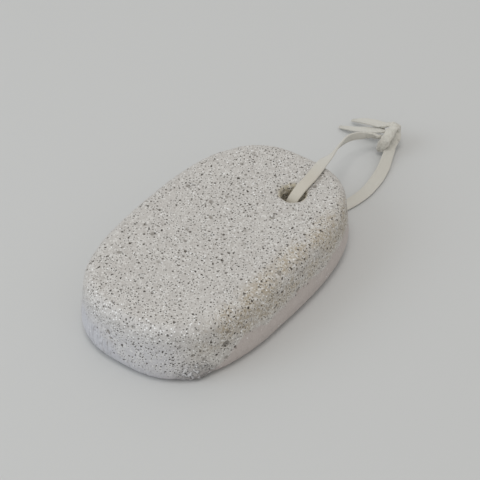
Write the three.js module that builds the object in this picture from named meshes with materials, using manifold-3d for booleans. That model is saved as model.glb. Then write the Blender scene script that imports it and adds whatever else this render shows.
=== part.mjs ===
// A bath pumice stone: one rounded oblong stone, drilled near one end, on a loop of flat cotton tape.
// Millimetres, +Z up, +X along the stone towards its drilled end. The origin is under the middle of
// the stone, on the surface that it rests on.
import * as THREE from "three";
import { mergeVertices } from "three/addons/utils/BufferGeometryUtils.js";
import Module from "manifold-3d";

const wasm = await Module();
wasm.setup();

// ---------------------------------------------------------------- driving dimensions

const stone = {
  length: 100,
  width: 62.2,
  height: 21.8,
  outlinePower: 2.76, // 2 is an ellipse, and more makes the sides straighter
  lean: -0.04, // how far the outline leans along X for each millimetre of Y
  endSpread: 0.013, // how much wider than its middle the drilled end is
  shoulder: 4.4, // radius of the rounded upper edge
  sideDraft: 1.4, // how far the sides draw in from the belly to the shoulder
  belly: 5.5, // height of the widest level
  footInset: 2.6, // how far the sides draw in under the belly
  aroundSteps: 72,
  shoulderSteps: 6,
  footSteps: 4,
};

const bore = {
  centre: new THREE.Vector2(29.1, -8.55),
  radius: 4.25,
  mouthRadius: 5.1, // worn wider at both faces
  mouthDepth: 1.5,
  sides: 24,
};

const channel = {
  width: 7,
  height: 2, // worn into the underside, so that the stone sits flat over its tape
  towards: new THREE.Vector2(50.5, -13.0),
  length: 40,
  archSteps: 8,
  archPower: 0.4, // a flat arch with quick shoulders
};

const tape = {
  width: 3.8,
  thickness: 0.9,
  corner: 0.3,
  stepLength: 4,
};

const knot = {
  centre: new THREE.Vector3(90.5, -8.0, 5.0),
  halfSize: new THREE.Vector3(5.4, 4.8, 4.7),
  sidesAround: 18,
  sidesUp: 12,
};

const touchGap = 0.3;
const cutOverrun = 2; // how far a cutting shape runs past the face that it opens

// ---------------------------------------------------------------- the tape's routes

// Each row is a place on the tape's centre line, then the way its upper face looks there.
const upperRunRoute = [
  [26.1, -8.4, 11.0, -1, 0, 0],
  [26.3, -8.7, 14.7, -1, 0, 0],
  [26.9, -9.1, 17.8, -0.92, 0, 0.38],
  [28.4, -9.6, 20.4, -0.71, 0, 0.71],
  [31.0, -9.9, 22.1, -0.38, -0.1, 0.92],
  [34.1, -10.0, 22.9, 0, -0.1, 1],
  [38.5, -9.7, 23.0, 0, -0.1, 1],
  [43.6, -8.9, 23.0, 0.05, -0.05, 1],
  [48.5, -7.9, 22.1, 0.1, 0.15, 1],
  [53.5, -6.5, 20.0, 0, 0.6, 0.8],
  [58.7, -4.9, 17.8, 0, 0.87, 0.49],
  [64.3, -3.2, 15.8, 0, 0.92, 0.38],
  [69.8, -1.8, 13.8, 0, 0.97, 0.2],
  [74.3, -1.2, 12.1, 0, 1, 0.1],
  [78.2, -1.7, 10.7, 0.1, 1, 0.05],
  [81.6, -2.8, 9.3, 0.3, 0.95, 0.1],
  [84.6, -4.2, 8.0, 0.4, 0.8, 0.4],
  [86.6, -6.0, 7.0, 0.3, 0.5, 0.8],
  [88.9, -7.7, 5.8, 0, 0.2, 1],
];

const lowerRunRoute = [
  [90.8, -10.0, 4.8, -0.2, -0.7, 0.8],
  [88.8, -10.2, 3.6, -0.3, -0.6, 0.8],
  [86.5, -10.9, 2.6, -0.3, -0.5, 0.85],
  [83.3, -12.0, 1.8, -0.2, -0.4, 0.9],
  [78.8, -13.5, 1.3, -0.1, -0.25, 1],
  [73.8, -14.6, 1.0, -0.05, -0.15, 1],
  [69.0, -15.2, 0.85, 0, -0.05, 1],
  [64.4, -15.4, 0.75, 0, 0, 1],
  [60.1, -15.0, 0.75, 0, 0, 1],
  [55.9, -14.2, 0.75, 0, 0, 1],
  [50.5, -13.0, 0.75, 0, 0, 1],
  [45.0, -11.85, 0.75, 0, 0, 1],
  [39.5, -10.7, 0.75, 0, 0, 1],
  [34.0, -9.57, 0.75, 0, 0, 1],
  [31.0, -8.95, 1.36, 0.38, 0, 0.92],
  [28.46, -8.42, 3.09, 0.71, 0, 0.71],
  [26.77, -8.07, 5.69, 0.92, 0, 0.38],
  [26.17, -7.95, 8.75, 1, 0, 0],
  [26.12, -8.25, 10.6, 1, 0, 0],
];

const upperTailRoute = [
  [93.5, -5.8, 8.2, 0.2, 0.4, 0.9],
  [92.7, -3.3, 7.4, 0.1, 0.5, 1],
  [93.1, 0.6, 6.3, 0, 0.5, 1],
  [94.3, 6.0, 3.9, 0, 0.6, 1],
  [94.7, 10.7, 1.5, 0, 0.6, 1],
];

const lowerTailRoute = [
  [91.1, -4.9, 6.6, 0.1, 0.4, 0.9],
  [90.5, -2.3, 5.9, 0, 0.4, 1],
  [90.3, 1.3, 4.4, 0, 0.3, 1],
  [89.7, 6.6, 2.6, 0, 0.5, 1],
  [89.3, 12.7, 0.9, 0, 0.5, 1],
];

// ---------------------------------------------------------------- solids

// A closed three.js geometry as a solid that can be joined and cut.
function solidFrom(geometry) {
  const bare = geometry.clone();
  bare.deleteAttribute("normal");
  bare.deleteAttribute("uv");
  const merged = mergeVertices(bare, 1e-4);
  return new wasm.Manifold(
    new wasm.Mesh({
      numProp: 3,
      vertProperties: merged.attributes.position.array,
      triVerts: new Uint32Array(merged.index.array),
    }),
  );
}

function meshFrom(solid, name, material) {
  const { vertProperties, triVerts } = solid.getMesh();
  const geometry = new THREE.BufferGeometry();
  geometry.setAttribute("position", new THREE.BufferAttribute(vertProperties, 3));
  geometry.setIndex(new THREE.BufferAttribute(triVerts, 1));
  geometry.computeVertexNormals();
  const mesh = new THREE.Mesh(geometry, material);
  mesh.name = name;
  return mesh;
}

// ---------------------------------------------------------------- the stone

// The widest outline, at an angle about the stone's middle.
function outlinePoint(angle) {
  const across = Math.abs(Math.cos(angle)) ** stone.outlinePower;
  const along = Math.abs(Math.sin(angle)) ** stone.outlinePower;
  const reach = (across + along) ** (-1 / stone.outlinePower);
  const x = (stone.length / 2) * Math.cos(angle) * reach;
  const y = (stone.width / 2) * Math.sin(angle) * reach;
  const spreadY = y * (1 + (stone.endSpread * x) / (stone.length / 2));
  return new THREE.Vector2(x + stone.lean * spreadY, spreadY);
}

function outlineNormal(angle) {
  const smallTurn = 0.01;
  const chord = outlinePoint(angle + smallTurn).sub(outlinePoint(angle - smallTurn));
  return new THREE.Vector2(chord.y, -chord.x).normalize();
}

// The place on the stone where a round blank of the stone's width has this angle and radius:
// near the rim it keeps its distance from the edge, and inside that it shrinks to the middle.
function oblongPoint(angle, radius) {
  const rim = stone.width / 2;
  const flatRadius = rim - stone.shoulder - stone.sideDraft;
  const inset = rim - Math.max(radius, flatRadius);
  const point = outlinePoint(angle).addScaledVector(outlineNormal(angle), -inset);
  return point.multiplyScalar(Math.min(1, radius / flatRadius));
}

// The side of the blank from the middle of its underside to the middle of its top.
function stoneProfile() {
  const rim = stone.width / 2;
  const points = [new THREE.Vector2(0, 0)];
  for (let i = 0; i <= stone.footSteps; i++) {
    const angle = (Math.PI / 2) * (i / stone.footSteps);
    const inset = stone.footInset * (1 - Math.sin(angle));
    points.push(new THREE.Vector2(rim - inset, stone.belly * (1 - Math.cos(angle))));
  }
  const shoulderRim = rim - stone.sideDraft;
  const shoulderFoot = stone.height - stone.shoulder;
  for (let i = 0; i <= stone.shoulderSteps; i++) {
    const angle = (Math.PI / 2) * (i / stone.shoulderSteps);
    const inset = stone.shoulder * (1 - Math.cos(angle));
    const rise = stone.shoulder * Math.sin(angle);
    points.push(new THREE.Vector2(shoulderRim - inset, shoulderFoot + rise));
  }
  points.push(new THREE.Vector2(0, stone.height));
  return points;
}

function stoneBlank() {
  const geometry = new THREE.LatheGeometry(stoneProfile(), stone.aroundSteps);
  geometry.rotateX(Math.PI / 2);
  const places = geometry.attributes.position;
  for (let i = 0; i < places.count; i++) {
    const x = places.getX(i);
    const y = places.getY(i);
    const point = oblongPoint(Math.atan2(y, x), Math.hypot(x, y));
    places.setXY(i, point.x, point.y);
  }
  geometry.computeBoundingBox();
  const middle = geometry.boundingBox.getCenter(new THREE.Vector3());
  geometry.translate(-middle.x, -middle.y, 0);
  return geometry;
}

// The bore is round, and both its mouths are worn into a shallow dish.
function boreCutter() {
  const { radius, mouthRadius, mouthDepth } = bore;
  const profile = [
    new THREE.Vector2(0, -cutOverrun),
    new THREE.Vector2(mouthRadius, -cutOverrun),
    new THREE.Vector2(mouthRadius, 0),
    new THREE.Vector2(radius, mouthDepth),
    new THREE.Vector2(radius, stone.height - mouthDepth),
    new THREE.Vector2(mouthRadius, stone.height),
    new THREE.Vector2(mouthRadius, stone.height + cutOverrun),
    new THREE.Vector2(0, stone.height + cutOverrun),
  ];
  const geometry = new THREE.LatheGeometry(profile, bore.sides);
  geometry.rotateX(Math.PI / 2);
  geometry.translate(bore.centre.x, bore.centre.y, 0);
  return geometry;
}

// The channel runs under the stone from the bore to past the end, with an arched roof.
function channelCutter() {
  const section = new THREE.Shape();
  section.moveTo(channel.width / 2, -cutOverrun);
  for (let i = 0; i <= channel.archSteps; i++) {
    const angle = Math.PI * (i / channel.archSteps);
    const side = (channel.width / 2) * Math.cos(angle);
    section.lineTo(side, channel.height * Math.sin(angle) ** channel.archPower);
  }
  section.lineTo(-channel.width / 2, -cutOverrun);
  section.closePath();
  const geometry = new THREE.ExtrudeGeometry(section, {
    depth: channel.length,
    bevelEnabled: false,
    steps: 1,
  });
  const heading = channel.towards.clone().sub(bore.centre).normalize();
  const sideways = new THREE.Vector3(-heading.y, heading.x, 0);
  const upwards = new THREE.Vector3(0, 0, 1);
  const forwards = new THREE.Vector3(heading.x, heading.y, 0);
  const place = new THREE.Matrix4().makeBasis(sideways, upwards, forwards);
  place.setPosition(bore.centre.x, bore.centre.y, 0);
  geometry.applyMatrix4(place);
  return geometry;
}

function stoneSolid() {
  return solidFrom(stoneBlank())
    .subtract(solidFrom(boreCutter()))
    .subtract(solidFrom(channelCutter()));
}

// ---------------------------------------------------------------- the tape

// A curve through the tape's centre line that carries the way the tape's face looks.
class TapePath extends THREE.CatmullRomCurve3 {
  constructor(route) {
    super(
      route.map(([x, y, z]) => new THREE.Vector3(x, y, z)),
      false,
      "centripetal",
    );
    this.faces = new THREE.CatmullRomCurve3(
      route.map(([, , , x, y, z]) => new THREE.Vector3(x, y, z).normalize()),
    );
  }

  computeFrenetFrames(segments) {
    const tangents = [];
    const normals = [];
    const binormals = [];
    for (let i = 0; i <= segments; i++) {
      const along = this.getUtoTmapping(i / segments);
      const tangent = this.getTangent(along);
      const face = this.faces.getPoint(along);
      const binormal = new THREE.Vector3().crossVectors(tangent, face).normalize();
      tangents.push(tangent);
      binormals.push(binormal);
      normals.push(new THREE.Vector3().crossVectors(binormal, tangent));
    }
    return { tangents, normals, binormals };
  }
}

// The tape's section, with its thickness along X and its width along Y, and cut corners.
function tapeSection() {
  const halfThick = tape.thickness / 2;
  const halfWide = tape.width / 2;
  const section = new THREE.Shape();
  section.moveTo(halfThick, -halfWide + tape.corner);
  section.lineTo(halfThick, halfWide - tape.corner);
  section.lineTo(halfThick - tape.corner, halfWide);
  section.lineTo(-halfThick + tape.corner, halfWide);
  section.lineTo(-halfThick, halfWide - tape.corner);
  section.lineTo(-halfThick, -halfWide + tape.corner);
  section.lineTo(-halfThick + tape.corner, -halfWide);
  section.lineTo(halfThick - tape.corner, -halfWide);
  section.closePath();
  return section;
}

function tapeGeometry(route) {
  const path = new TapePath(route);
  return new THREE.ExtrudeGeometry(tapeSection(), {
    steps: Math.ceil(path.getLength() / tape.stepLength),
    extrudePath: path,
  });
}

function knotGeometry(grow) {
  const geometry = new THREE.SphereGeometry(1, knot.sidesAround, knot.sidesUp);
  geometry.rotateX(Math.PI / 2);
  const { x, y, z } = knot.halfSize;
  geometry.scale(x + grow, y + grow, z + grow);
  geometry.translate(knot.centre.x, knot.centre.y, knot.centre.z);
  return geometry;
}

// A stretch of tape that stops just short of the knot.
function tapeSolid(route) {
  return solidFrom(tapeGeometry(route)).subtract(solidFrom(knotGeometry(touchGap)));
}

// ---------------------------------------------------------------- the whole

const pumice = new THREE.MeshStandardMaterial({
  name: "pumice",
  color: "#bdb9b2",
  roughness: 0.95,
  metalness: 0,
});
const cotton = new THREE.MeshStandardMaterial({
  name: "cotton",
  color: "#dcd7c6",
  roughness: 0.9,
  metalness: 0,
});

const group = new THREE.Group();
group.name = "pumice_stone_on_cord";
group.add(
  meshFrom(stoneSolid(), "stone", pumice),
  meshFrom(tapeSolid(upperRunRoute), "cord_upper_run", cotton),
  meshFrom(tapeSolid(lowerRunRoute), "cord_lower_run", cotton),
  meshFrom(solidFrom(knotGeometry(0)), "cord_knot", cotton),
  meshFrom(tapeSolid(upperTailRoute), "cord_tail_upper", cotton),
  meshFrom(tapeSolid(lowerTailRoute), "cord_tail_lower", cotton),
);

export default group;
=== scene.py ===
"""A bath pumice stone, drilled near one end and hung on a knotted loop of flat cotton tape.

Metres, +Z up, +X along the stone towards its drilled end. Lengths written through mm() are in
millimetres.
"""
import math

import bpy
import numpy as np
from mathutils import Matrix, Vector


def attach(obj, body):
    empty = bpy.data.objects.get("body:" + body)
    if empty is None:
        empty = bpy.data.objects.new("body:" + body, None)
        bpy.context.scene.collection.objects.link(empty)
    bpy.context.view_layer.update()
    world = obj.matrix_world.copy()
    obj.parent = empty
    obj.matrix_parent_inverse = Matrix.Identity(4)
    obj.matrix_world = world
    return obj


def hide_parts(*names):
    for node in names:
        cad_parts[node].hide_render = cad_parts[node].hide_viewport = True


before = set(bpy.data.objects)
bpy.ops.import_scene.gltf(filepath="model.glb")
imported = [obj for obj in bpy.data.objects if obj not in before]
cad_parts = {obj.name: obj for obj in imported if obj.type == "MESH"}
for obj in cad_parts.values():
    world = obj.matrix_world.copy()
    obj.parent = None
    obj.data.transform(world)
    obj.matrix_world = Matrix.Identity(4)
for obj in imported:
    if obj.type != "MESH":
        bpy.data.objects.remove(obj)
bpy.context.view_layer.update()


def mm(*lengths):
    """Millimetres as metres: one number, or several as a tuple."""
    metres = tuple(length / 1000 for length in lengths)
    return metres if len(metres) > 1 else metres[0]


# ------------------------------------------------------------------ sizes

BORE_CENTRE = mm(29.1, -8.55)
BORE_RADIUS = mm(4.25)
PORED_CORNER = mm(-41, -18, 0)  # where the pores reach furthest down the side
DRAWN_CORNER = mm(-45, 13, 0)  # where the smooth skin reaches furthest up, and is wrinkled
GLINT_PLACE = mm(-47, -2, 19)  # the middle of the stretch of shoulder that glitters
LIP_PLACE = mm(-39.3, -21.6, 1.6)  # a crumpled lip low on the near end

TAPE_MOUTH = mm(30, -9, 22)  # where the tape comes up out of the bore, and is soiled
TAPE_WIDTH = mm(3.8)
TAPE_THICKNESS = mm(0.9)

# ------------------------------------------------------------------ camera

CAMERA_AZIMUTH = math.radians(-52.67)
CAMERA_ELEVATION = math.radians(43.21)
CAMERA_DISTANCE = mm(463.5)
CAMERA_TARGET = Vector(mm(18.6, 5.4, 0))
CAMERA_ANGLE = math.radians(20)


def towards(azimuth, elevation):
    """The unit vector that points from the stone to a camera or a lamp."""
    flat = math.cos(elevation)
    return Vector((math.sin(azimuth) * flat, -math.cos(azimuth) * flat, math.sin(elevation)))


def add_camera():
    camera = bpy.data.objects.new("camera", bpy.data.cameras.new("camera"))
    bpy.context.scene.collection.objects.link(camera)
    back = towards(CAMERA_AZIMUTH, CAMERA_ELEVATION)
    camera.location = CAMERA_TARGET + back * CAMERA_DISTANCE
    camera.rotation_euler = back.to_track_quat("Z", "Y").to_euler()
    camera.data.angle = CAMERA_ANGLE
    camera.data.clip_start = mm(10)
    bpy.context.scene.camera = camera


add_camera()

# ------------------------------------------------------------------ the tape's routes

# Each row is a place on the tape's centre line in millimetres, the way its face looks there, and
# how much of its width and of its thickness it has there.
OVER_ROUTE = [
    (26.1, -8.4, 11.0, -1, 0, 0, 1, 1),
    (26.3, -8.7, 14.7, -1, 0, 0, 1, 1),
    (26.9, -9.1, 17.8, -0.92, 0, 0.38, 1, 1),
    (28.4, -9.6, 20.4, -0.71, 0, 0.71, 1, 1),
    (31.0, -9.9, 22.1, -0.38, -0.1, 0.92, 1, 1),
    (34.1, -10.0, 22.9, 0, -0.1, 1, 1, 1),
    (38.5, -9.7, 23.0, 0, -0.1, 1, 1, 1),
    (43.6, -8.9, 23.0, 0.05, -0.05, 1, 1, 1),
    (48.5, -7.9, 22.1, 0.1, 0.15, 1, 0.95, 1),
    (53.5, -6.5, 20.0, 0, 0.6, 0.8, 1, 1),
    (58.7, -4.9, 17.8, 0, 0.87, 0.49, 1, 1),
    (64.3, -3.2, 15.8, 0, 0.92, 0.38, 0.95, 1),
    (69.8, -1.8, 13.8, 0, 0.97, 0.2, 0.9, 1),
    (74.3, -1.2, 12.1, 0, 1, 0.1, 0.85, 1.05),
    (78.2, -1.7, 10.7, 0.1, 1, 0.05, 0.8, 1.1),
    (81.6, -2.8, 9.3, 0.3, 0.95, 0.1, 0.75, 1.2),
    (84.6, -4.2, 8.0, 0.4, 0.8, 0.4, 0.75, 1.25),
    (86.6, -6.0, 7.0, 0.3, 0.5, 0.8, 0.8, 1.3),
    (88.9, -7.7, 5.8, 0, 0.2, 1, 0.8, 1.3),
    (91.9, -8.6, 5.2, 0.2, -0.3, 0.9, 0.8, 1.3),
    (93.7, -9.1, 6.4, 0.9, -0.3, 0.2, 0.8, 1.3),
    (93.1, -8.8, 8.4, 0.7, 0, 0.7, 0.85, 1.4),
    (90.5, -8.8, 9.0, -0.1, -0.1, 1, 0.9, 1.4),
    (87.8, -9.3, 8.6, -0.5, -0.3, 0.8, 0.95, 1.4),
    (86.1, -9.2, 7.4, -0.7, -0.4, 0.6, 1, 1.4),
    (85.2, -8.7, 5.6, -0.8, -0.5, 0.3, 0.95, 1.3),
    (85.1, -8.0, 3.2, -0.9, -0.4, -0.2, 0.9, 1.3),
    (86.8, -8.4, 1.5, -0.3, 0, -1, 0.9, 1.2),
    (89.7, -8.2, 1.5, 0.3, 0.2, -0.9, 0.9, 1.2),
    (91.6, -7.7, 3.6, 0.9, 0.3, -0.2, 0.95, 1.3),
    (92.1, -6.7, 6.0, 0.7, 0.4, 0.5, 0.95, 1.3),
    (91.1, -4.9, 6.6, 0.1, 0.4, 0.9, 1.1, 1.2),
    (90.5, -2.3, 5.9, 0, 0.4, 1, 1.05, 1.1),
    (90.3, 1.3, 4.4, 0, 0.3, 1, 0.9, 1),
    (89.7, 6.6, 2.6, 0, 0.5, 1, 0.7, 0.95),
    (89.3, 12.7, 0.9, 0, 0.5, 1, 0.35, 0.7),
]

UNDER_ROUTE = [
    (26.12, -8.25, 10.6, 1, 0, 0, 1, 1),
    (26.17, -7.95, 8.75, 1, 0, 0, 1, 1),
    (26.77, -8.07, 5.69, 0.92, 0, 0.38, 1, 1),
    (28.46, -8.42, 3.09, 0.71, 0, 0.71, 1, 1),
    (31.0, -8.95, 1.36, 0.38, 0, 0.92, 1, 1),
    (34.0, -9.57, 0.75, 0, 0, 1, 1, 1),
    (39.5, -10.7, 0.75, 0, 0, 1, 1, 1),
    (45.0, -11.85, 0.75, 0, 0, 1, 1, 1),
    (50.5, -13.0, 0.75, 0, 0, 1, 1.05, 1),
    (55.9, -14.2, 0.75, 0, 0, 1, 1.15, 0.95),
    (60.1, -15.0, 0.75, 0, 0, 1, 1.2, 0.95),
    (64.4, -15.4, 0.75, 0, 0, 1, 1.2, 0.95),
    (69.0, -15.2, 0.85, 0, -0.05, 1, 1.2, 0.95),
    (73.8, -14.6, 1.0, -0.05, -0.15, 1, 1.2, 0.95),
    (78.8, -13.5, 1.3, -0.1, -0.25, 1, 1.15, 0.95),
    (83.3, -12.0, 1.8, -0.2, -0.4, 0.9, 1.1, 1),
    (86.5, -10.9, 2.6, -0.3, -0.5, 0.85, 1.05, 1.1),
    (88.8, -10.2, 3.6, -0.3, -0.6, 0.8, 1, 1.2),
    (90.8, -10.0, 4.8, -0.2, -0.7, 0.8, 1, 1.3),
    (92.8, -9.9, 6.2, 0.2, -0.6, 0.8, 1, 1.4),
    (94.5, -9.1, 7.8, 0.7, -0.3, 0.6, 1, 1.5),
    (94.4, -7.6, 8.6, 0.5, 0.1, 0.8, 1.05, 1.5),
    (93.5, -5.8, 8.2, 0.2, 0.4, 0.9, 1.05, 1.4),
    (92.7, -3.3, 7.4, 0.1, 0.5, 1, 1, 1.2),
    (93.1, 0.6, 6.3, 0, 0.5, 1, 0.9, 1),
    (94.3, 6.0, 3.9, 0, 0.6, 1, 0.75, 0.95),
    (94.7, 10.7, 1.5, 0, 0.6, 1, 0.3, 0.7),
]


# ------------------------------------------------------------------ node trees


def pick(sockets, key):
    """A socket by its place, or by its name among those in use."""
    if isinstance(key, int):
        return sockets[key]
    return next(socket for socket in sockets if socket.enabled and socket.name == key)


class Value:
    """One output socket. Arithmetic on it adds Math nodes to its tree."""

    def __init__(self, tree, socket):
        self.tree = tree
        self.socket = socket

    def of(self, name):
        """Another output of the same node."""
        return Value(self.tree, pick(self.socket.node.outputs, name))

    def __add__(self, other):
        return self.tree.math("ADD", self, other)

    __radd__ = __add__

    def __sub__(self, other):
        return self.tree.math("SUBTRACT", self, other)

    def __rsub__(self, other):
        return self.tree.math("SUBTRACT", other, self)

    def __mul__(self, other):
        return self.tree.math("MULTIPLY", self, other)

    __rmul__ = __mul__

    def __truediv__(self, other):
        return self.tree.math("DIVIDE", self, other)

    def __rtruediv__(self, other):
        return self.tree.math("DIVIDE", other, self)

    def __pow__(self, other):
        return self.tree.math("POWER", self, other)

    def __gt__(self, other):
        return self.tree.math("GREATER_THAN", self, other)

    def __lt__(self, other):
        return self.tree.math("LESS_THAN", self, other)


class Tree:
    """Adds nodes to a material or to a Geometry Nodes group."""

    def __init__(self, nodes):
        self.nodes = nodes
        self.identifiers = {}

    def node(self, kind, settings=None, sockets=None):
        """A new node, its settings set first, then its sockets. Gives its first output in use."""
        made = self.nodes.nodes.new(kind)
        for name, setting in (settings or {}).items():
            setattr(made, name, setting)
        for key, content in (sockets or {}).items():
            for part in content if isinstance(content, list) else [content]:
                if isinstance(part, Value):
                    self.nodes.links.new(part.socket, pick(made.inputs, key))
                else:
                    pick(made.inputs, key).default_value = part
        outputs = [socket for socket in made.outputs if socket.enabled]
        return Value(self, outputs[0]) if outputs else None

    def math(self, operation, *terms):
        return self.node("ShaderNodeMath", {"operation": operation}, dict(enumerate(terms)))

    def vector(self, operation, *terms):
        """Vector Math. The last term of SCALE is its number."""
        sockets = dict(enumerate(terms))
        if operation == "SCALE":
            sockets = {0: terms[0], "Scale": terms[1]}
        return self.node("ShaderNodeVectorMath", {"operation": operation}, sockets)

    def length(self, operation, *terms):
        """The number that a Vector Math node gives."""
        return self.vector(operation, *terms).of("Value")

    def join(self, x, y, z):
        return self.node("ShaderNodeCombineXYZ", None, {"X": x, "Y": y, "Z": z})

    def split(self, vector):
        parts = self.node("ShaderNodeSeparateXYZ", None, {"Vector": vector})
        return [parts.of(axis) for axis in "XYZ"]

    def mix(self, factor, first, second):
        """A colour between two."""
        return self.node(
            "ShaderNodeMix",
            {"data_type": "RGBA"},
            {"Factor": factor, "A": first, "B": second},
        )

    def fade(self, number, low, high, at_low=0.0, at_high=1.0):
        """Smoothly from one number at low to another at high, and level past both."""
        return self.node(
            "ShaderNodeMapRange",
            {"interpolation_type": "SMOOTHSTEP"},
            {"Value": number, "From Min": low, "From Max": high, "To Min": at_low, "To Max": at_high},
        )

    def noise(self, place, size, detail=2.0, roughness=0.5):
        """Noise from 0 to 1 with lumps of this size."""
        sockets = {"Vector": place, "Scale": 1 / size, "Detail": detail, "Roughness": roughness}
        return self.node("ShaderNodeTexNoise", None, sockets)

    def cells(self, place, size, feature="F1"):
        """Voronoi cells of this size. Its distance is in cells."""
        sockets = {"Vector": place, "Scale": 1 / size}
        return self.node("ShaderNodeTexVoronoi", {"feature": feature}, sockets)

    def attribute(self, name):
        """A number that the mesh carries, in a material."""
        return self.node("ShaderNodeAttribute", {"attribute_name": name}).of("Fac")

    def named(self, name, kind="FLOAT"):
        """A number or vector that the mesh carries, in Geometry Nodes."""
        return self.node("GeometryNodeInputNamedAttribute", {"data_type": kind}, {"Name": name})

    def store(self, geometry, name, value, kind="FLOAT"):
        return self.node(
            "GeometryNodeStoreNamedAttribute",
            {"data_type": kind, "domain": "POINT"},
            {"Geometry": geometry, "Name": name, "Value": value},
        )

    def between(self, low, high, seed, kind="FLOAT"):
        """A random number or vector for each point or instance."""
        sockets = {"Min": low, "Max": high, "Seed": seed}
        return self.node("FunctionNodeRandomValue", {"data_type": kind}, sockets)


class Shape(Tree):
    """A Geometry Nodes group with named inputs for its sizes."""

    def __init__(self, name, sizes):
        super().__init__(bpy.data.node_groups.new(name, "GeometryNodeTree"))
        face = self.nodes.interface
        face.new_socket("Geometry", in_out="INPUT", socket_type="NodeSocketGeometry")
        face.new_socket("Geometry", in_out="OUTPUT", socket_type="NodeSocketGeometry")
        self.sizes = sizes
        for label, size in sizes.items():
            kind = "NodeSocketInt" if isinstance(size, int) else "NodeSocketFloat"
            made = face.new_socket(label, in_out="INPUT", socket_type=kind)
            self.identifiers[label] = made.identifier
        self.geometry = self.node("NodeGroupInput")

    def size(self, label):
        return self.geometry.of(label)

    def finish(self, geometry, material):
        """Ends the tree with its instances realized and its material set."""
        real = self.node("GeometryNodeRealizeInstances", None, {"Geometry": geometry})
        painted = self.node(
            "GeometryNodeSetMaterial", None, {"Geometry": real, "Material": material}
        )
        self.node("NodeGroupOutput", None, {"Geometry": painted})

    def run(self, name, source):
        """A plain mesh object of what the tree makes from the source object, which is used up."""
        modifier = source.modifiers.new(name, "NODES")
        modifier.node_group = self.nodes
        for label, size in self.sizes.items():
            modifier[self.identifiers[label]] = size
        depsgraph = bpy.context.evaluated_depsgraph_get()
        mesh = bpy.data.meshes.new_from_object(source.evaluated_get(depsgraph))
        bpy.data.objects.remove(source)
        return new_object(name, mesh)


def new_object(name, mesh):
    piece = bpy.data.objects.new(name, mesh)
    mesh.name = name
    bpy.context.scene.collection.objects.link(piece)
    return piece


class Finish(Tree):
    """A material with one Principled shader, whose constant values are set on its own sockets."""

    def __init__(self, name):
        self.material = bpy.data.materials.new(name)
        self.material.use_nodes = True
        self.material.node_tree.nodes.clear()
        super().__init__(self.material.node_tree)
        coordinates = self.node("ShaderNodeTexCoord")
        self.place = coordinates.of("Object")

    def surface(self, sockets):
        shader = self.node("ShaderNodeBsdfPrincipled", None, sockets)
        self.node("ShaderNodeOutputMaterial", None, {"Surface": shader})

    def bump(self, height, strength, distance):
        sockets = {"Height": height, "Strength": strength, "Distance": distance}
        return self.node("ShaderNodeBump", None, sockets)


def paint(red, green, blue):
    """An opaque colour from its 0 to 255 display values."""

    def linear(level):
        level /= 255
        return level / 12.92 if level <= 0.04045 else ((level + 0.055) / 1.055) ** 2.4

    return (linear(red), linear(green), linear(blue), 1.0)


# ------------------------------------------------------------------ cotton tape

WARP_COUNT = 9  # lengthwise ribs across one face
WEFT_PITCH = mm(0.42)
RING_COUNT = 44  # points round the tape's section
CURVE_POINTS = 400  # along the smoothed route
FIBRE_DENSITY = 5 / mm(1) ** 2  # loose fibres at the cut end
PATH_STEP = 3  # every third row's middle is enough to follow the tape by


def cotton_finish():
    """Unbleached cotton: warp ribs crossed by the weft, faint soiling, soft fuzz."""
    cotton = Finish("unbleached_cotton")
    across = cotton.attribute("across")
    along = cotton.attribute("along")
    weft = cotton.math("SINE", along * (2 * math.pi / WEFT_PITCH))
    warp = cotton.math("SINE", across * (2 * math.pi * WARP_COUNT))
    weave = cotton.fade(weft * warp, -1.0, 1.0)
    fibres = cotton.noise(cotton.place, mm(0.35), 3.0, 0.6)
    patches = cotton.noise(cotton.place, mm(9), 2.0, 0.5)
    cream = cotton.mix(patches, paint(213, 211, 205), paint(205, 201, 192))
    from_mouth = cotton.length("DISTANCE", cotton.place, TAPE_MOUTH)
    cream = cotton.mix(cotton.fade(from_mouth, mm(6), mm(20), 0.6, 0.0), cream, paint(196, 186, 170))
    shaded = cotton.mix(weave * 0.35, cream, paint(174, 167, 150))
    cloth = cotton.mix(fibres * 0.3, shaded, paint(228, 225, 216))
    height = weave * 0.6 + fibres * 0.4
    cotton.surface(
        {
            "Base Color": cloth,
            "Roughness": 0.9,
            "Sheen Weight": 0.25,
            "Sheen Roughness": 0.5,
            "Normal": cotton.bump(height, 0.5, mm(0.08)),
        }
    )
    return cotton.material


def route_object(name, route):
    """A chain of points along the route, which carry the tape's face, width and thickness."""
    mesh = bpy.data.meshes.new(name)
    links = [(i, i + 1) for i in range(len(route) - 1)]
    mesh.from_pydata([mm(*row[:3]) for row in route], links, [])
    for label, kind in (("face", "FLOAT_VECTOR"), ("wide", "FLOAT"), ("thick", "FLOAT")):
        mesh.attributes.new(label, kind, "POINT")
    for i, (_, _, _, x, y, z, wide, thick) in enumerate(route):
        mesh.attributes["face"].data[i].vector = Vector((x, y, z)).normalized()
        mesh.attributes["wide"].data[i].value = wide
        mesh.attributes["thick"].data[i].value = thick
    return new_object(name, mesh)


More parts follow.
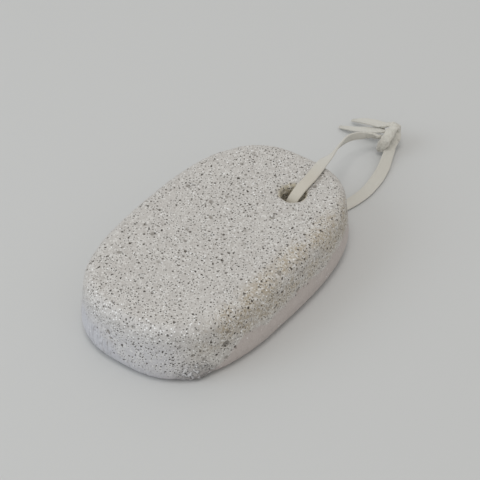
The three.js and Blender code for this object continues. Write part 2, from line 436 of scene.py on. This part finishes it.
def fuzz(tape, cloth):
    """Loose cotton fibres, thick at the cut end and sparse elsewhere, each a bent three-sided hair."""
    tip = tape.fade(tape.named("left"), mm(0.2), mm(1.4), 1.0, 0.03)
    points = tape.node(
        "GeometryNodeDistributePointsOnFaces",
        {"distribute_method": "RANDOM"},
        {"Mesh": cloth, "Density": tip * FIBRE_DENSITY, "Seed": 3},
    )
    bow = tape.node(
        "GeometryNodeCurveQuadraticBezier",
        None,
        {"Resolution": 4, "Start": (0, 0, -0.05), "Middle": (0.1, 0, 0.5), "End": (0.6, 0.1, 0.9)},
    )
    ring = tape.node(
        "GeometryNodeCurvePrimitiveCircle",
        None,
        {"Resolution": 3, "Radius": tape.size("Fibre radius") / tape.size("Fibre length")},
    )
    hair = tape.node(
        "GeometryNodeCurveToMesh", None, {"Curve": bow, "Profile Curve": ring, "Fill Caps": True}
    )
    spin = tape.between((0, 0, 0), (0, 0, 6.28), 4, "FLOAT_VECTOR")
    turned = tape.node(
        "FunctionNodeRotateRotation",
        {"rotation_space": "LOCAL"},
        {"Rotation": points.of("Rotation"), "Rotate By": spin},
    )
    long = tape.between(0.4, 1.2, 5) * tape.size("Fibre length")
    return tape.node(
        "GeometryNodeInstanceOnPoints",
        None,
        {"Points": points, "Instance": hair, "Rotation": turned, "Scale": long},
    )


def tape_shape(material):
    """Lays a ribbed, closed tape along the chain of points: rows run along it, and columns round it."""
    tape = Shape(
        "flat_tape",
        {
            "Rows": 500,
            "Columns": RING_COUNT,
            "Width": TAPE_WIDTH,
            "Thickness": TAPE_THICKNESS,
            "Rib count": WARP_COUNT,
            "Rib height": mm(0.05),
            "Edge wander": mm(0.16),
            "Crumple": mm(2.2),
            "Fibre length": mm(1.1),
            "Fibre radius": mm(0.018),
        },
    )
    curve = tape.node("GeometryNodeMeshToCurve", None, {"Mesh": tape.geometry})
    smooth = tape.node(
        "GeometryNodeCurveSplineType", {"spline_type": "CATMULL_ROM"}, {"Curve": curve}
    )
    even = tape.node("GeometryNodeResampleCurve", None, {"Curve": smooth, "Count": CURVE_POINTS})

    rows = tape.size("Rows")
    columns = tape.size("Columns")
    grid = tape.node(
        "GeometryNodeMeshGrid", None, {"Vertices X": columns, "Vertices Y": rows}
    )
    index = tape.node("GeometryNodeInputIndex")
    column = tape.math("FLOOR", index / rows)
    row = index - column * rows
    # The first and last two rows share their place: the outer one shrinks to a point and closes the end.
    along = tape.node(
        "ShaderNodeMapRange",
        {"clamp": True},
        {"Value": row, "From Min": 1.0, "From Max": rows - 2},
    )
    body = tape.math("MULTIPLY", row > 0.5, row < (rows - 1.5))
    turn = column / (columns - 1) * (2 * math.pi)

    def sampled(name, kind):
        return tape.node(
            "GeometryNodeSampleCurve",
            {"mode": "FACTOR", "use_all_curves": True, "data_type": kind},
            {"Curves": even, "Value": tape.named(name, kind), "Factor": along},
        )

    facing = sampled("face", "FLOAT_VECTOR")
    tangent = facing.of("Tangent")
    centre = facing.of("Position")
    sideways = tape.vector("NORMALIZE", tape.vector("CROSS_PRODUCT", tangent, facing))
    upwards = tape.vector("CROSS_PRODUCT", sideways, tangent)
    wide = sampled("wide", "FLOAT")
    thick = sampled("thick", "FLOAT")

    # A section between an oblong and an ellipse: |cos| and |sin| to a small power square it off.
    def squared(wave, power):
        return tape.math("SIGN", wave) * tape.math("ABSOLUTE", wave) ** power

    across = squared(tape.math("COSINE", turn), 0.75)
    lift = squared(tape.math("SINE", turn), 0.42)
    ribs = tape.math("COSINE", across * math.pi * tape.size("Rib count"))
    rib = ribs * tape.size("Rib height") * lift
    wander = tape.noise(centre, mm(5), 2.0, 0.6) - 0.5
    half_width = tape.size("Width") * 0.5 * wide + wander * tape.size("Edge wander")
    out = tape.vector("SCALE", sideways, across * half_width * body)
    rise = (lift * tape.size("Thickness") * 0.5 * thick + rib) * body
    up = tape.vector("SCALE", upwards, rise)
    place = tape.vector("ADD", centre, tape.vector("ADD", out, up))
    # Tape pulled tight in the knot, where it bunches up thicker, is crumpled.
    bunched = tape.fade(thick, 1.05, 1.35) * tape.size("Crumple") * body
    folds = tape.noise(place, mm(2.6), 2.0, 0.6).of("Color")
    folds = tape.vector("SUBTRACT", folds, (0.5, 0.5, 0.5))
    place = tape.vector("ADD", place, tape.vector("SCALE", folds, bunched))
    laid = tape.node("GeometryNodeSetPosition", None, {"Geometry": grid, "Position": place})
    laid = tape.store(laid, "across", across * 0.5)
    curve_length = tape.node("GeometryNodeCurveLength", None, {"Curve": even})
    laid = tape.store(laid, "along", along * curve_length)
    laid = tape.store(laid, "left", (1 - along) * curve_length)
    laid = tape.store(laid, "centre", centre, "FLOAT_VECTOR")
    closed = tape.node(
        "GeometryNodeMergeByDistance", None, {"Geometry": laid, "Distance": mm(0.0005)}
    )
    whole = tape.node("GeometryNodeJoinGeometry", None, {"Geometry": [closed, fuzz(tape, closed)]})
    tape.finish(tape.node("GeometryNodeSetShadeSmooth", None, {"Geometry": whole}), material)
    return tape


def lay_tape(name, route, tape):
    """One tape, and the middles of its rows as the path that it follows."""
    piece = tape.run(name, route_object(name + "_route", route))
    data = piece.data.attributes
    along = np.zeros(len(piece.data.vertices))
    data["along"].data.foreach_get("value", along)
    centres = np.zeros(3 * len(along))
    data["centre"].data.foreach_get("vector", centres)
    _, first = np.unique(along.round(6), return_index=True)
    path = centres.reshape(-1, 3)[first]
    return piece, path[::PATH_STEP]


cotton = cotton_finish()
tape = tape_shape(cotton)
over_tape, over_path = lay_tape("tape_over_and_lower_tail", OVER_ROUTE, tape)
under_tape, under_path = lay_tape("tape_under_and_upper_tail", UNDER_ROUTE, tape)


for piece, path, nodes, exit in (
    (over_tape, over_path, ["cord_upper_run", "cord_knot", "cord_tail_lower"], OVER_ROUTE[3]),
    (under_tape, under_path, ["cord_lower_run", "cord_tail_upper"], UNDER_ROUTE[4]),
):
    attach(piece, "root")
    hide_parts(*nodes)
    mm(*exit[:3])

# ------------------------------------------------------------------ the stone


# The skin's cool colour carries a painted reflection of the bluish window light.
SKIN_COOL = paint(194, 194, 200)
SKIN_WARM = paint(190, 177, 172)
BLANK_VOXEL = mm(1.1)  # how fine the stone's mesh is before it is pitted
CRUMB_POINTS = 1000.0  # a loose part with fewer points than this is a crumb
SHARP_EDGE = math.radians(38)


def pumice_finish():
    """Pale grey volcanic glass foam: pores darkened with painted shade, a smoother skin low on the
    sides, painted glints and sheen.
    """
    pumice = Finish("foamed_pumice")
    place = pumice.place
    x, y, z = pumice.split(place)
    hollow_depth = pumice.attribute("hollow_depth")
    pore_depth = pumice.attribute("pore_depth")
    skin = pumice.attribute("skin")
    broad = pumice.noise(place, mm(12), 3.0, 0.6)
    blotch = pumice.noise(place, mm(2.2), 3.0, 0.65)
    grain = pumice.noise(place, mm(0.75), 3.0, 0.7)
    base = pumice.mix(broad, paint(206, 202, 197), paint(194, 189, 184))
    base = pumice.mix(pumice.fade(blotch, 0.5, 0.72) * 0.5, base, paint(174, 169, 163))
    base = pumice.mix(pumice.fade(grain, 0.5, 0.7) * 0.35, base, paint(158, 152, 146))
    base = pumice.mix(pumice.fade(grain, 0.3, 0.5, 1.0, 0.0) * 0.4, base, paint(232, 230, 226))

    # The smooth skin is cool with a painted reflection of the bluish window light on it, and turns
    # warmer and a little darker towards the long side.
    skin_tone_and_reflection = pumice.mix(pumice.fade(y, mm(-6), mm(-24)), SKIN_COOL, SKIN_WARM)
    base = pumice.mix(pumice.fade(skin, 0.25, 0.85) * 0.65, base, skin_tone_and_reflection)
    # Painted window light: the lower near end is lightened with a cool tint, as if lit by the window
    # lamp.
    lit_near_face = pumice.fade(x, mm(-38), mm(-47)) * pumice.fade(z, mm(20), mm(12))
    base = pumice.mix(lit_near_face * 0.4, base, paint(213, 215, 225))

    # Brown grime sits along the worn shoulder of the long side.
    shoulder_dirt = pumice.fade(y, mm(-20), mm(-26)) * pumice.fade(z, mm(9), mm(14))
    dirt = shoulder_dirt * pumice.fade(pumice.noise(place, mm(7), 3.0, 0.6), 0.3, 0.6)
    dirt = dirt * pumice.fade(grain, 0.36, 0.56)
    base = pumice.mix(dirt * 0.75, base, paint(172, 157, 132))

    # Inside the bore the stone is brown and crumbly.
    centre = pumice.join(*BORE_CENTRE, 0.0)
    flat = pumice.join(x, y, 0.0)
    radius = pumice.length("DISTANCE", flat, centre) + (grain - 0.5) * mm(1.6)
    bore = pumice.fade(radius, BORE_RADIUS * 1.02, BORE_RADIUS * 1.3, 1.0, 0.0)
    bore_colour = pumice.mix(grain, paint(240, 230, 206), paint(158, 146, 120))
    base = pumice.mix(bore * 0.85, base, bore_colour)

    # Pores too small to be cut: a speck of painted shade with a painted highlight round its rim in the
    # middle of some cells, the shade darker and the specks denser in the bore.
    cell = pumice.cells(place, mm(0.95))
    chance = pumice.split(cell.of("Color"))[0]
    bare = pumice.math("MULTIPLY", chance > (0.35 - bore * 0.25), 1 - skin * 0.9)
    speck = pumice.fade(cell, 0.14, 0.34, 1.0, 0.0) * bare
    rim = pumice.fade(cell, 0.3, 0.42) * pumice.fade(cell, 0.44, 0.6, 1.0, 0.0) * bare
    base = pumice.mix(rim * 0.6, base, paint(240, 238, 234))
    base = pumice.mix(speck * (0.55 + bore * 0.3), base, paint(110, 102, 94))
    # Painted shade: the cut hollows, pits and pores are darker the deeper they go.
    base = pumice.mix(pumice.fade(hollow_depth, 0.02, 0.4) * 0.6, base, paint(132, 126, 118))
    base = pumice.mix(pumice.fade(pore_depth, 0.02, 0.34) * 0.85, base, paint(100, 93, 85))

    # Painted glints: flecks of glass painted white, thickest along the shoulder of the near end, which
    # also gets a painted cool sheen.
    fleck_cell = pumice.cells(place, mm(0.9))
    fleck_chance = pumice.split(fleck_cell.of("Color"))[1]
    from_near_end = pumice.length("DISTANCE", place, GLINT_PLACE)
    shoulder = pumice.fade(z, mm(12), mm(18)) * pumice.fade(z, mm(20.9), mm(21.9), 1.0, 0.0)
    shoulder = shoulder * pumice.fade(from_near_end, mm(10), mm(28), 1.0, 0.0)
    glint_fleck = pumice.fade(fleck_cell, 0.18, 0.36, 1.0, 0.0) * (fleck_chance > (0.94 - shoulder * 0.6))
    base = pumice.mix(shoulder * 0.18, base, paint(218, 219, 224))
    base = pumice.mix(glint_fleck * 0.9, base, paint(255, 255, 255))

    # The crumpled lip: painted highlights along its folds and painted shade between them.
    from_lip = pumice.length("DISTANCE", place, LIP_PLACE)
    lip = pumice.fade(from_lip, mm(3), mm(8.5), 1.0, 0.0)
    fold = pumice.fade(pumice.noise(place, mm(1.5), 2.0, 0.6), 0.46, 0.56)
    base = pumice.mix(lip * (1 - fold) * 0.5, base, paint(148, 145, 146))
    base = pumice.mix(lip * fold * 0.6, base, paint(226, 226, 230))
    fine = pumice.noise(place, mm(0.25), 3.0, 0.7)

    # The skin lies in fine upright wrinkles, deepest at the corner where it climbs highest.
    drawn = pumice.vector("MULTIPLY", place, (1.0, 1.0, 0.3))
    wrinkle = pumice.fade(pumice.noise(drawn, mm(2.4), 2.0, 0.5), 0.42, 0.6) * skin
    from_drawn = pumice.length("DISTANCE", flat, DRAWN_CORNER)
    wrinkle = wrinkle * pumice.fade(from_drawn, mm(10), mm(28), 1.6, 0.4)
    height = (blotch * 1.2 + grain * 0.7 + fine * 0.3) * (1 - skin * 0.6) - speck * 0.8
    height = height + wrinkle + lip * fold * 5
    pumice.surface(
        {
            "Base Color": base,
            "Roughness": 0.95 - skin * 0.3 - glint_fleck * 0.55,
            "Coat Weight": skin * 0.25 + shoulder * 0.15,
            "Coat Roughness": 0.35,
            "Normal": pumice.bump(height, 0.8, mm(0.45)),
        }
    )
    return pumice.material


def stone_source():
    """A copy of the stone's solid, merged, with an even mesh for the surface to be worked in."""
    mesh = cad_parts["stone"].data.copy()
    mesh.materials.clear()
    source = new_object("stone_blank", mesh)
    weld = source.modifiers.new("weld", "WELD")
    weld.merge_threshold = mm(0.001)
    remesh = source.modifiers.new("even", "REMESH")
    remesh.mode = "VOXEL"
    remesh.voxel_size = BLANK_VOXEL
    remesh.use_smooth_shade = True
    return source


def stone_shape(material):
    """Swells and crumbles the stone's surface, sets it flat on its foot and cuts its pores."""
    stone = Shape(
        "pumice_stone",
        {
            "Broad swell": mm(0.6),
            "Lump height": mm(0.45),
            "Grain height": mm(0.3),
            "Bore crumble": mm(1.3),
            "Lip height": mm(2.6),
            "Skin height": mm(7.5),
            "Hollow spacing": mm(4.2),
            "Hollow radius": mm(1.2),
            "Pit spacing": mm(2.0),
            "Pit radius": mm(0.5),
            "Pore spacing": mm(1.12),
            "Pore radius": mm(0.4),
            "Seed": 11,
        },
    )
    seed = stone.size("Seed")
    place = stone.node("GeometryNodeInputPosition")
    normal = stone.node("GeometryNodeInputNormal")
    x, y, z = stone.split(place)

    # How far a place is above the smooth skin. It climbs on the worn long side and most of all at
    # the drawn corner, and dips at the pored corner.
    long_side = stone.fade(y, mm(-14), mm(-27))
    from_corner = stone.length("DISTANCE", stone.join(x, y, 0.0), PORED_CORNER)
    corner = stone.fade(from_corner, mm(7), mm(22), 1.0, 0.0)
    ragged = (stone.noise(place, mm(9), 3.0, 0.6) - 0.5) * mm(9)
    near_end = stone.fade(x, mm(-36), mm(-45)) * (1 - corner)
    climb = long_side * mm(3) * (1 - corner) - corner * mm(3.5) - near_end * mm(2.5)
    from_drawn = stone.length("DISTANCE", stone.join(x, y, 0.0), DRAWN_CORNER)
    climb = climb + stone.fade(from_drawn, mm(4), mm(17), 1.0, 0.0) * mm(7)
    above = z - stone.size("Skin height") - climb - ragged
    blend = mm(4.5) - long_side * mm(2.5)
    upper = stone.fade(above, blend * -1, blend)
    rough = upper * 0.8 + 0.2

    swell = (stone.noise(place, mm(26), 1.0) - 0.5) * stone.size("Broad swell")
    lump = (stone.noise(place, mm(4), 2.0) - 0.5) * stone.size("Lump height")
    grain = (stone.noise(place, mm(1.8), 2.0, 0.7) - 0.5) * stone.size("Grain height")
    from_axis = stone.length("DISTANCE", stone.join(x, y, 0.0), stone.join(*BORE_CENTRE, 0.0))
    in_bore = stone.fade(from_axis, BORE_RADIUS * 1.1, BORE_RADIUS * 1.5, 1.0, 0.0)
    crumble = (stone.noise(place, mm(2.2), 3.0, 0.7) - 0.5) * stone.size("Bore crumble")
    from_lip = stone.length("DISTANCE", place, LIP_PLACE)
    lip = stone.fade(from_lip, mm(1), mm(6), 1.0, 0.0) * stone.size("Lip height")
    creases = stone.noise(place, mm(1.9), 2.0, 0.6)
    raised = swell + (lump + grain) * rough + crumble * in_bore + lip * (creases - 0.2)
    lumpy = stone.node(
        "GeometryNodeSetPosition",
        None,
        {"Geometry": stone.geometry, "Offset": stone.vector("SCALE", normal, raised)},
    )
    # The underside stays on the surface that the stone rests on.
    grounded = stone.join(x, y, stone.math("MAXIMUM", z, mm(0.02)))
    body = stone.node(
        "GeometryNodeSetPosition", None, {"Geometry": lumpy, "Position": grounded}
    )

    patchy = stone.fade(stone.noise(place, mm(6), 3.0, 0.6), 0.33, 0.55, 0.3, 1.0)
    under = stone.fade(z, mm(0.4), mm(1.2), 0.12, 0.0)
    mask = stone.math("MAXIMUM", (upper + under) * patchy, in_bore * 0.9)

    def dent(current, label, proud, ball, turn):
        """Cuts one generation of separate hollows, proud of the surface by a share of their radius."""
        spacing = stone.size(label + " spacing")
        radius = stone.size(label + " radius")
        points = stone.node(
            "GeometryNodeDistributePointsOnFaces",
            {"distribute_method": "POISSON"},
            {
                "Mesh": current,
                "Distance Min": spacing,
                "Density Max": 1.6 / spacing**2,
                "Density Factor": mask,
                "Seed": seed + turn,
            },
        )
        rim = radius * stone.between(proud[0], proud[1], seed + turn + 1)
        moved = stone.node(
            "GeometryNodeSetPosition",
            None,
            {"Geometry": points, "Offset": stone.vector("SCALE", points.of("Normal"), rim)},
        )
        angles = stone.between((0, 0, 0), (6.28, 6.28, 6.28), seed + turn + 2, "FLOAT_VECTOR")
        grown = stone.between(0.55, 1.15, seed + turn + 3)
        stretch = stone.between(
            (0.7, 0.7, 0.7), (1.2, 1.2, 1.2), seed + turn + 4, "FLOAT_VECTOR"
        )
        scale = stone.vector("SCALE", stretch, grown * radius)
        pits = stone.node(
            "GeometryNodeInstanceOnPoints",
            None,
            {"Points": moved, "Instance": ball, "Rotation": angles, "Scale": scale},
        )
        solid = stone.node("GeometryNodeRealizeInstances", None, {"Geometry": pits})
        return stone.node(
            "GeometryNodeMeshBoolean",
            {"operation": "DIFFERENCE", "solver": "MANIFOLD"},
            {"Mesh 1": current, "Mesh 2": solid},
        )

    def ball(segments, rings):
        sockets = {"Segments": segments, "Rings": rings, "Radius": 1.0}
        return stone.node("GeometryNodeMeshUVSphere", None, sockets)

    def depth_below(surface):
        """How far a place is from an earlier surface, in millimetres."""
        near = stone.node("GeometryNodeProximity", None, {"Geometry": surface})
        return near.of("Distance") / mm(1)

    hollowed = dent(body, "Hollow", (0.45, 0.85), ball(9, 6), 10)
    pitted = dent(hollowed, "Pit", (-0.1, 0.5), ball(6, 4), 20)
    pitted = dent(pitted, "Pore", (-0.35, 0.3), ball(4, 3), 30)
    # Crumbs that the pits have cut loose are dropped.
    island = stone.node("GeometryNodeInputMeshIsland")
    island_size = stone.node(
        "GeometryNodeAccumulateField",
        {"data_type": "INT", "domain": "POINT"},
        {"Value": 1, "Group ID": island},
    ).of("Total")
    whole = stone.node(
        "GeometryNodeDeleteGeometry",
        {"domain": "POINT"},
        {"Geometry": pitted, "Selection": island_size < CRUMB_POINTS},
    )
    marked = stone.store(whole, "hollow_depth", depth_below(body))
    marked = stone.store(marked, "pore_depth", depth_below(hollowed))
    marked = stone.store(marked, "skin", 1 - upper)
    stone.finish(marked, material)
    return stone


def make_stone():
    piece = stone_shape(pumice_finish()).run("stone_skin", stone_source())
    piece.data.set_sharp_from_angle(angle=SHARP_EDGE)
    piece.name = "pumice_block"
    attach(piece, "root")
    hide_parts("stone")


make_stone()

# ------------------------------------------------------------------ floor and light


def add_floor():
    mesh = bpy.data.meshes.new("floor")
    reach = 4.0
    corners = [(-reach, -reach, 0), (reach, -reach, 0), (reach, reach, 0), (-reach, reach, 0)]
    mesh.from_pydata(corners, [], [(0, 1, 2, 3)])
    floor = new_object("floor", mesh)
    board = Finish("pale_board")
    tone = board.noise(board.place, 0.5, 1.0)
    colour = board.mix(tone, paint(206, 206, 205), paint(202, 202, 201))
    board.surface({"Base Color": colour, "Roughness": 0.8})
    mesh.materials.append(board.material)


def add_lamp(name, azimuth, elevation, distance, size, power, colour):
    lamp = bpy.data.lights.new(name, "AREA")
    lamp.color = colour
    lamp.shape = "DISK"
    lamp.size = size
    lamp.energy = power
    holder = bpy.data.objects.new(name, lamp)
    bpy.context.scene.collection.objects.link(holder)
    back = towards(math.radians(azimuth), math.radians(elevation))
    holder.location = back * distance
    holder.rotation_euler = back.to_track_quat("Z", "Y").to_euler()


def add_world(level):
    world = bpy.data.worlds.new("studio")
    world.use_nodes = True
    background = world.node_tree.nodes["Background"]
    background.inputs["Color"].default_value = paint(254, 254, 252)
    background.inputs["Strength"].default_value = level
    bpy.context.scene.world = world


add_floor()
add_lamp(
    "window", azimuth=-130, elevation=34, distance=1.5, size=1.0, power=5, colour=(0.8, 0.9, 1.0)
)
add_lamp(
    "ceiling", azimuth=-60, elevation=78, distance=1.5, size=0.6, power=4.5, colour=(1.0, 0.98, 0.95)
)
add_world(level=0.58)
bpy.context.scene.view_settings.view_transform = "Standard"
